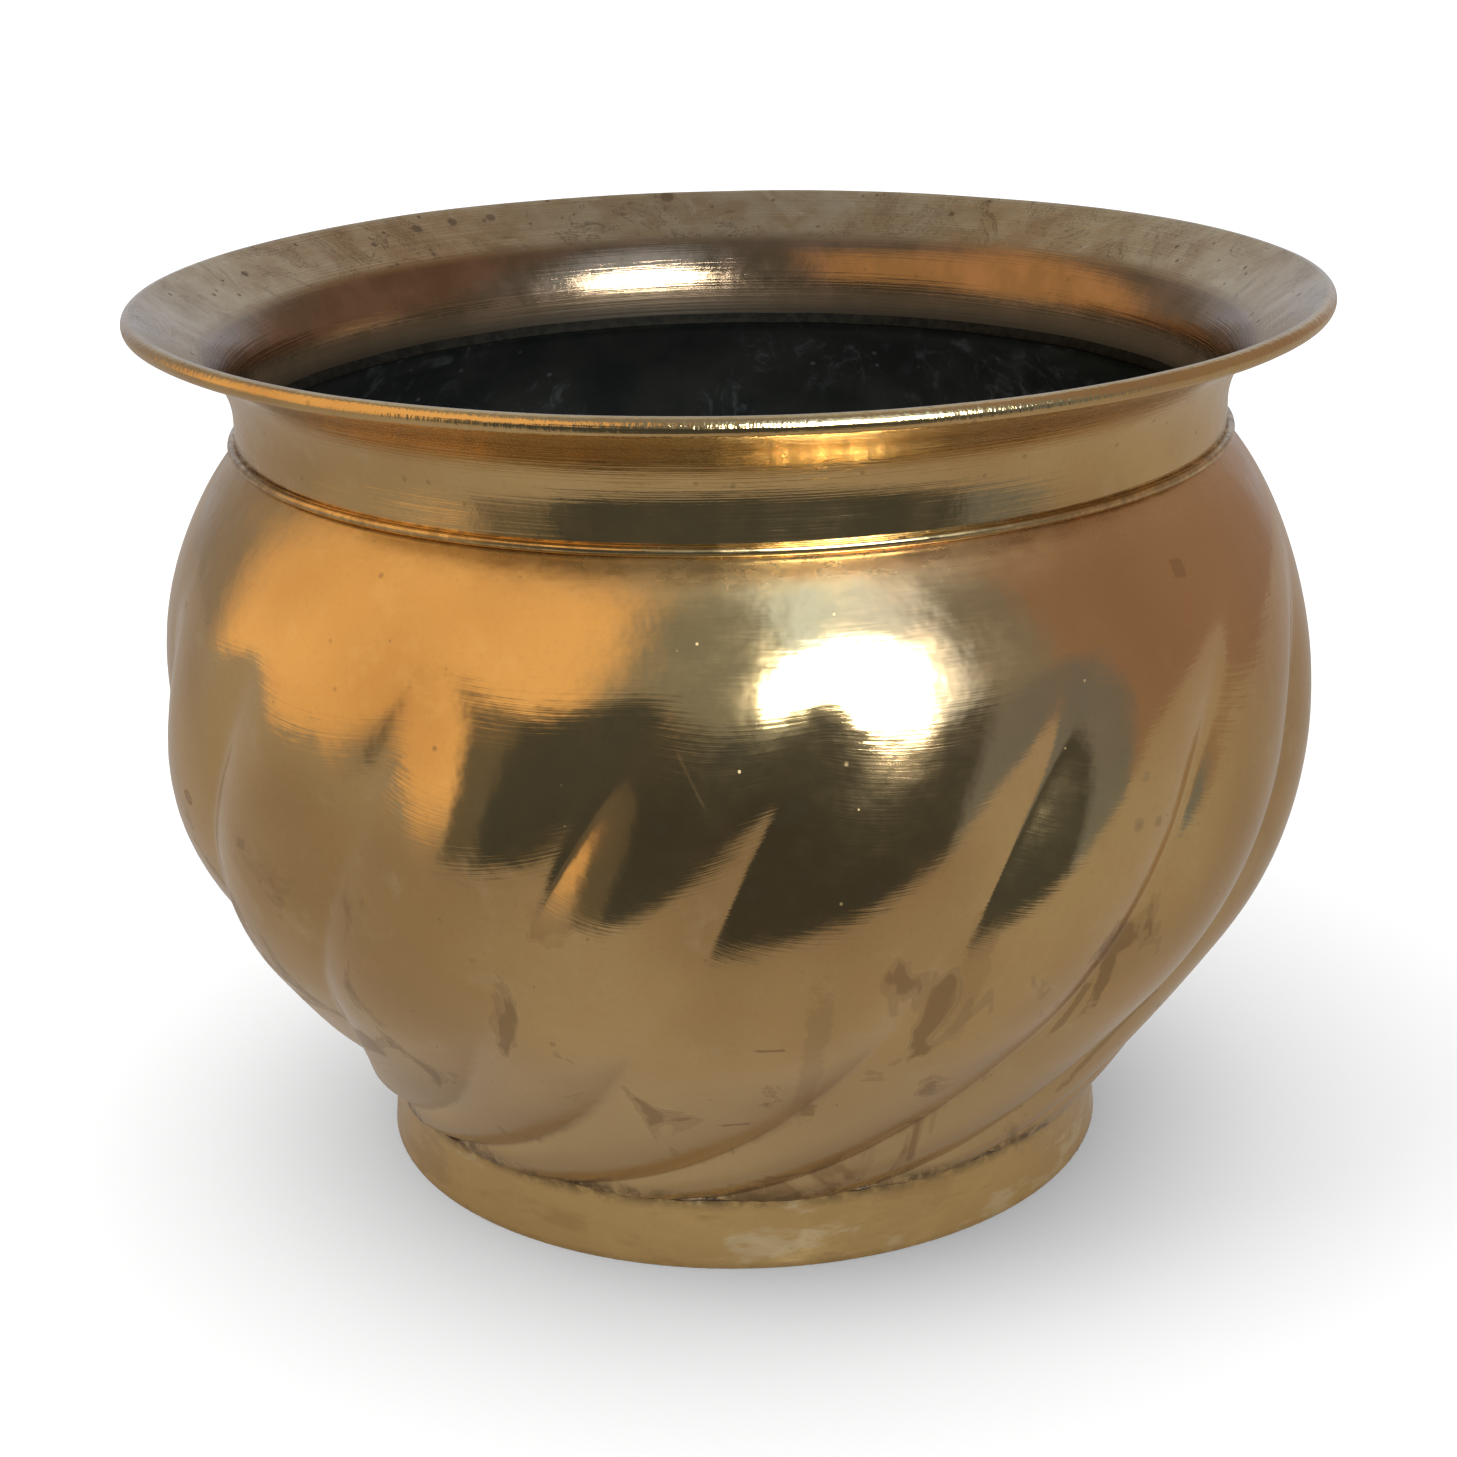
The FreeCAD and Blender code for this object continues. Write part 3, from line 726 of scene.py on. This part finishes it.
def collar_brass():
    material, n = new_material("collar_brass_worn")
    place = Place(n)
    tone, mottle = brass_tones(n, place)
    along = n.attribute("along")
    rings = place.streaks(2.2, 120.0)
    brushed = place.streaks(8.0, 70.0)
    edge_noise = n.noise(place.point, 0.30, 4.0, 0.65)

    lip = n.band(along, LIP_START - 1.0, ROLL_START + 0.3, 1.5)
    inside = n.step(along, LIP_START + 0.5, LIP_START - 3.5)
    # Paler brass on the flare's underside: a painted sheen that brightens what it reflects.
    underside = n.band(along, ROLL_END_ALONG + 2.0, UNDER_END_ALONG + 14.0, 3.0)
    tone = n.mix(n.math("MULTIPLY", underside, 0.7), tone, (0.78, 0.66, 0.45, 1.0))
    lip_tone = n.mix(n.step(mottle, 0.35, 0.65), (0.50, 0.385, 0.225, 1.0), (0.38, 0.26, 0.135, 1.0))
    smear = n.noise(n.scaled(place.point, 0.05, 0.05, 0.05), 1.0, 6.0, 0.72, 1.2)
    lip_tone = n.mix(n.math("MULTIPLY", n.step(smear, 0.46, 0.36), 0.5), lip_tone, (0.60, 0.50, 0.33, 1.0))
    lip_tone = n.mix(n.math("MULTIPLY", n.step(smear, 0.57, 0.66), 0.5), lip_tone, (0.24, 0.15, 0.08, 1.0))
    tide = n.band(smear, 0.555, 0.562, 0.008)
    lip_tone = n.mix(n.math("MULTIPLY", tide, 0.65), lip_tone, (0.13, 0.075, 0.04, 1.0))
    tone = n.mix(n.math("MULTIPLY", lip, 0.85), tone, lip_tone)
    inside_tone = n.mix(n.step(mottle, 0.35, 0.65), INNER_BROWN, (0.27, 0.175, 0.11, 1.0))
    inside_tone = n.mix(n.step(along, BLACKENED, 0.5), inside_tone, SEAM_DARK)
    tone = n.mix(n.math("MULTIPLY", inside, 0.95), tone, inside_tone)

    groove = n.step(along, ROLL_END_ALONG - 0.5, ROLL_END_ALONG)
    in_groove = n.product(groove, n.step(along, UNDER_END_ALONG, UNDER_END_ALONG - 1.5))
    at_bead = n.product(n.step(along, BEAD_ALONG - 0.9, BEAD_ALONG), n.step(edge_noise, 0.38, 0.60))
    grime = n.most(n.math("MULTIPLY", in_groove, 0.6), n.math("MULTIPLY", at_bead, 0.4))
    tone = n.mix(grime, tone, DIRT)
    spots = n.math("MULTIPLY", specks(n, place, 0.30, 0.20, 0.30), n.most(lip, 0.35))
    spots = n.most(spots, lip_spots(n, place))
    tone = n.mix(n.math("MULTIPLY", spots, 0.7), tone, (0.10, 0.06, 0.035, 1.0))

    rough = n.blend(n.step(mottle, 0.30, 0.75), 0.09, 0.18)
    rough = n.math("ADD", rough, n.math("MULTIPLY", lip, 0.10))
    rough = n.math("ADD", rough, n.math("MULTIPLY", n.math("SUBTRACT", brushed, 0.5), 0.12))
    rough = n.blend(n.most(grime, spots), rough, 0.45)

    nicks = n.noise(n.scaled(place.point, 0.9, 0.9, 0.15), 1.0, 3.0, 0.6)
    on_roll = n.band(along, ROLL_START + 0.8, ROLL_END_ALONG - 1.0, 0.6)
    normal = n.bump(rings, 0.00006)
    normal = n.bump(brushed, 0.000014, normal)
    normal = n.bump(n.math("MULTIPLY", nicks, on_roll), 0.00016, normal)
    normal = n.bump(n.noise(place.point, 0.25, 4.0, 0.55), 0.00007, normal)
    black = n.step(along, BLACKENED, 2.0)
    rough = n.blend(black, rough, 0.50)
    metal = n.math("SUBTRACT", 1.0, n.math("MULTIPLY", black, 0.75))
    finish_material(n, tone, rough, normal, metal, 0.12)
    return material


def outline_lengths():
    """Millimetres along the collar's outline to the lip, the roll, its end, the underside and the bead."""
    outline = collar_outline()
    along = [0.0]
    for before, after in zip(outline, outline[1:]):
        along.append(along[-1] + math.dist(before, after))
    lip_start = WALL_STEPS + FLARE_STEPS
    roll_start = lip_start + LIP_STEPS
    roll_end = roll_start + ROLL_STEPS
    under_end = roll_end + 1 + WIRE_STEPS
    bead = len(outline) - BEAD_STEPS - 1
    return [along[i] for i in (lip_start, roll_start, roll_end, under_end, bead)]


LIP_START, ROLL_START, ROLL_END_ALONG, UNDER_END_ALONG, BEAD_ALONG = outline_lengths()
BLACKENED = 10.0


def foot_brass():
    material, n = new_material("foot_brass_painted_light")
    place = Place(n)
    tone, mottle = brass_tones(n, place)
    # Brighter gold over the whole foot: painted light, standing in for the warm light that falls on it.
    tone = n.mix(0.6, tone, (0.78, 0.57, 0.25, 1.0))
    edge_noise = n.noise(place.point, 0.30, 4.0, 0.65)
    brushed = place.streaks(6.0, 60.0)
    under_bowl = n.product(n.step(place.z, 11.0, 14.6), n.step(edge_noise, 0.30, 0.60))
    worn = n.noise(n.scaled(place.point, 0.045, 0.045, 0.12), 1.0, 4.0, 0.6)
    tone = n.mix(n.math("MULTIPLY", n.step(worn, 0.56, 0.66), 0.75), tone, (0.84, 0.72, 0.45, 1.0))
    tone = n.mix(n.math("MULTIPLY", n.step(worn, 0.46, 0.36), 0.55), tone, (0.55, 0.38, 0.17, 1.0))
    at_floor = n.product(n.step(place.z, 1.6, 0.2), n.step(edge_noise, 0.30, 0.70))
    grime = n.most(n.math("MULTIPLY", under_bowl, 0.8), n.math("MULTIPLY", at_floor, 0.3))
    tone = n.mix(grime, tone, DIRT)
    rough = n.blend(n.step(mottle, 0.3, 0.75), 0.16, 0.28)
    rough = n.math("ADD", rough, n.math("MULTIPLY", n.math("SUBTRACT", brushed, 0.5), 0.12))
    rough = n.blend(grime, rough, 0.5)
    normal = n.bump(brushed, 0.000015)
    normal = n.bump(n.noise(place.point, 0.18, 4.0, 0.55), 0.00022, normal)
    finish_material(n, tone, rough, normal)
    return material


def solder_dirt():
    material, n = new_material("solder_grimy")
    place = Place(n)
    cloud = n.noise(place.point, 0.35, 5.0, 0.65)
    tone = n.mix(n.step(cloud, 0.40, 0.66), (0.055, 0.037, 0.022, 1.0), (0.26, 0.18, 0.10, 1.0))
    rough = n.blend(cloud, 0.40, 0.65)
    normal = n.bump(n.noise(place.point, 1.2, 4.0, 0.6), 0.0002)
    finish_material(n, tone, rough, normal, 0.8)
    return material


def neck_solder_brown():
    """Solder inside the seam, blackened like the sheet beside it."""
    material, n = new_material("neck_solder_brown")
    place = Place(n)
    cloud = n.noise(place.point, 0.5, 4.0, 0.6)
    tone = n.mix(n.step(cloud, 0.35, 0.65), (0.010, 0.009, 0.007, 1.0), (0.018, 0.016, 0.012, 1.0))
    normal = n.bump(n.noise(place.point, 0.9, 4.0, 0.6), 0.00008)
    finish_material(n, tone, n.blend(cloud, 0.65, 0.85), normal)
    return material


def wire_brass():
    material, n = new_material("wire_brass_drawn")
    place = Place(n)
    tone, mottle = brass_tones(n, place)
    drawn = place.streaks(6.0, 80.0)
    normal = n.bump(drawn, 0.00002)
    finish_material(n, tone, n.blend(mottle, 0.25, 0.40), normal)
    return material


# ---------------------------------------------------------------- studio

# Large soft panels and cards round the pot, which the metal reflects. Each has the azimuth and
# height of its middle, half its width and height, the softness of its edge, all in degrees, and
# its colour. Later ones stand in front of earlier ones.
PANELS = {
    "card_right": ((100.0, 20.0), (60.0, 48.0), 18.0, (0.37, 0.28, 0.24)),
    "panel_left": ((-72.0, 24.0), (38.0, 24.0), 18.0, (1.15, 0.76, 0.40)),
    "card_front": ((24.0, 32.0), (38.0, 32.0), 10.0, (0.28, 0.30, 0.32)),
    "panel_front_right": ((28.0, 34.0), (12.0, 30.0), 12.0, (0.95, 1.25, 1.75)),
    "card_low_left": ((-34.0, -3.0), (21.0, 15.0), 6.0, (0.17, 0.16, 0.15)),
    "card_low_right": ((48.0, -8.0), (22.0, 14.0), 8.0, (0.22, 0.25, 0.31)),
    "card_low_front": ((5.0, -30.0), (44.0, 40.0), 6.0, (0.08, 0.088, 0.095)),
}
STUDIO_GREY = (0.38, 0.34, 0.31, 1.0)
STUDIO_BACK = (0.56, 0.60, 0.70, 1.0)
STUDIO_CEILING = (0.34, 0.35, 0.40, 1.0)


def studio(n):
    """What the polished metal reflects: a direction gives the colour of the studio there."""
    direction = n.add("TexCoord").outputs["Generated"]
    x, y, z = n.add("SeparateXYZ", {0: direction}).outputs[:3]
    height = n.math("DEGREES", n.math("ARCSINE", z))
    azimuth = n.math("DEGREES", n.math("ARCTAN2", x, n.math("MULTIPLY", y, -1.0)))
    behind = n.step(n.math("ABSOLUTE", azimuth), 138.0, 160.0)

    colour = STUDIO_GREY
    for middle, half, soft, shade in PANELS.values():
        across = n.band(azimuth, middle[0] - half[0], middle[0] + half[0], soft)
        up = n.band(height, middle[1] - half[1], middle[1] + half[1], soft)
        colour = n.mix(n.math("MULTIPLY", across, up), colour, (*shade, 1.0))
    colour = n.mix(n.product(behind, n.step(height, -12.0, 0.0)), colour, STUDIO_BACK)
    return n.mix(n.step(height, 58.0, 74.0), colour, STUDIO_CEILING)


def make_world():
    """Plain white light for the floor, and the panels for reflections in the metal."""
    bpy.context.scene.cycles.caustics_reflective = False
    world = bpy.data.worlds.new("studio")
    bpy.context.scene.world = world
    world.use_nodes = True
    world.cycles.sampling_method = "NONE"
    n = Nodes(world.node_tree)
    path = n.add("LightPath").outputs
    seen = n.mix(path["Is Glossy Ray"], (1.35, 1.35, 1.35, 1.0), studio(n))
    background = n.add("Background", {0: seen, 1: 1.0})
    output = n.add("OutputWorld")
    n.tree.links.new(background.outputs[0], output.inputs[0])


def add_light(name, place, aim, width, height, watts, colour, diffuse, glossy):
    lamp = bpy.data.lights.new(name, "AREA")
    lamp.shape = "ELLIPSE"
    lamp.size, lamp.size_y = width, height
    lamp.energy = watts
    lamp.color = colour
    holder = bpy.data.objects.new(name, lamp)
    holder.location = place
    holder.rotation_euler = (Vector(aim) - Vector(place)).to_track_quat("-Z", "Y").to_euler()
    holder.visible_diffuse = diffuse
    holder.visible_glossy = glossy
    holder.visible_camera = False
    bpy.context.scene.collection.objects.link(holder)


def plane(name, low, high, z):
    corners = [(low[0], low[1], z), (high[0], low[1], z), (high[0], high[1], z), (low[0], high[1], z)]
    mesh = bpy.data.meshes.new(name)
    mesh.from_pydata(corners, [], [(0, 1, 2, 3)])
    made = bpy.data.objects.new(name, mesh)
    bpy.context.scene.collection.objects.link(made)
    return made


def matt(name, colour):
    material, n = new_material(name)
    shader = n.add("BsdfDiffuse", {0: colour})
    output = n.add("OutputMaterial")
    n.tree.links.new(shader.outputs[0], output.inputs[0])
    return material


def floor_card():
    """Plain warm grey card that glows by its own emission, though it is no lamp, with a painted shadow
    where the pot stands over it.
    """
    material, n = new_material("floor_card_glow_painted_shadow")
    place = Place(n)
    # Darker ring round the pot: a painted shadow, since the glowing card neither casts nor takes any.
    under = n.step(place.radius, 96.0, 72.0)
    colour = n.mix(n.math("MULTIPLY", under, 0.5), (0.46, 0.41, 0.37, 1.0), (0.22, 0.17, 0.13, 1.0))
    shade = n.add("Emission", {0: colour, 1: 1.0})
    output = n.add("OutputMaterial")
    n.tree.links.new(shade.outputs[0], output.inputs[0])
    return material


def make_floor():
    """Pale floor to stand on. The metal reflects a plain darker card in its place, because the floor itself
    would wash out the lower half of the pot. The card glows by its own emission, though it is no lamp."""
    floor = plane("floor", (-9.0, -9.0), (9.0, 9.0), 0.0)
    floor.data.materials.append(matt("floor_pale", (0.90, 0.90, 0.90, 1.0)))
    floor.visible_glossy = False
    card = plane("floor_card", (-1.5, -0.25), (1.5, 1.3), 0.0001)
    card.data.materials.append(floor_card())
    for kind in ("camera", "diffuse", "transmission", "volume_scatter", "shadow"):
        setattr(card, "visible_" + kind, False)


def make_lights():
    make_world()
    focus = (0.0, 0.0, 0.09)
    add_light("key_soft", (-1.3, -0.7, 1.7), focus, 1.2, 1.2, 9.0, (1.0, 0.98, 0.95), True, False)
    softbox_at = (0.52, -1.28, 0.68)
    add_light("softbox", softbox_at, focus, 0.74, 0.60, 45.0, (0.86, 0.94, 1.0), False, True)


def make_camera():
    """The photograph's view: near the pot, looking down on it, turned slightly."""
    lens = bpy.data.cameras.new("camera")
    lens.lens = 69.18
    lens.sensor_width = 36.0
    lens.shift_x, lens.shift_y = -0.0061, 0.0078
    camera = bpy.data.objects.new("camera", lens)
    tilt = Matrix.Rotation(math.pi / 2 - 0.3436, 4, "X")
    roll = Matrix.Rotation(-0.0208, 4, "Z")
    camera.matrix_world = Matrix.Translation((0.0, -0.5195, 0.2629)) @ tilt @ roll
    bpy.context.scene.collection.objects.link(camera)
    bpy.context.scene.camera = camera


# ---------------------------------------------------------------- scene

def dress(piece, material, node):
    """Gives a piece its material and slot, and lets it ride in place of its CAD node."""
    piece.data.materials.append(material)
    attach(piece, "root")
    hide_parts(node)


def paint_node(name, material):
    """Better material on a CAD node that keeps its own shape."""
    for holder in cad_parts[name].material_slots:
        holder.material = material


make_camera()
make_lights()
make_floor()
dress(build_bowl(), bowl_brass(), "bowl")
dress(build_collar(), collar_brass(), "neck_collar")
dress(build_foot(), foot_brass(), "foot_ring")
dress(build_neck_solder(), neck_solder_brown(), "neck_solder")
dress(build_foot_solder(), solder_dirt(), "foot_solder")
paint_node("rim_wire", wire_brass())

bpy.context.scene.view_settings.view_transform = "Standard"
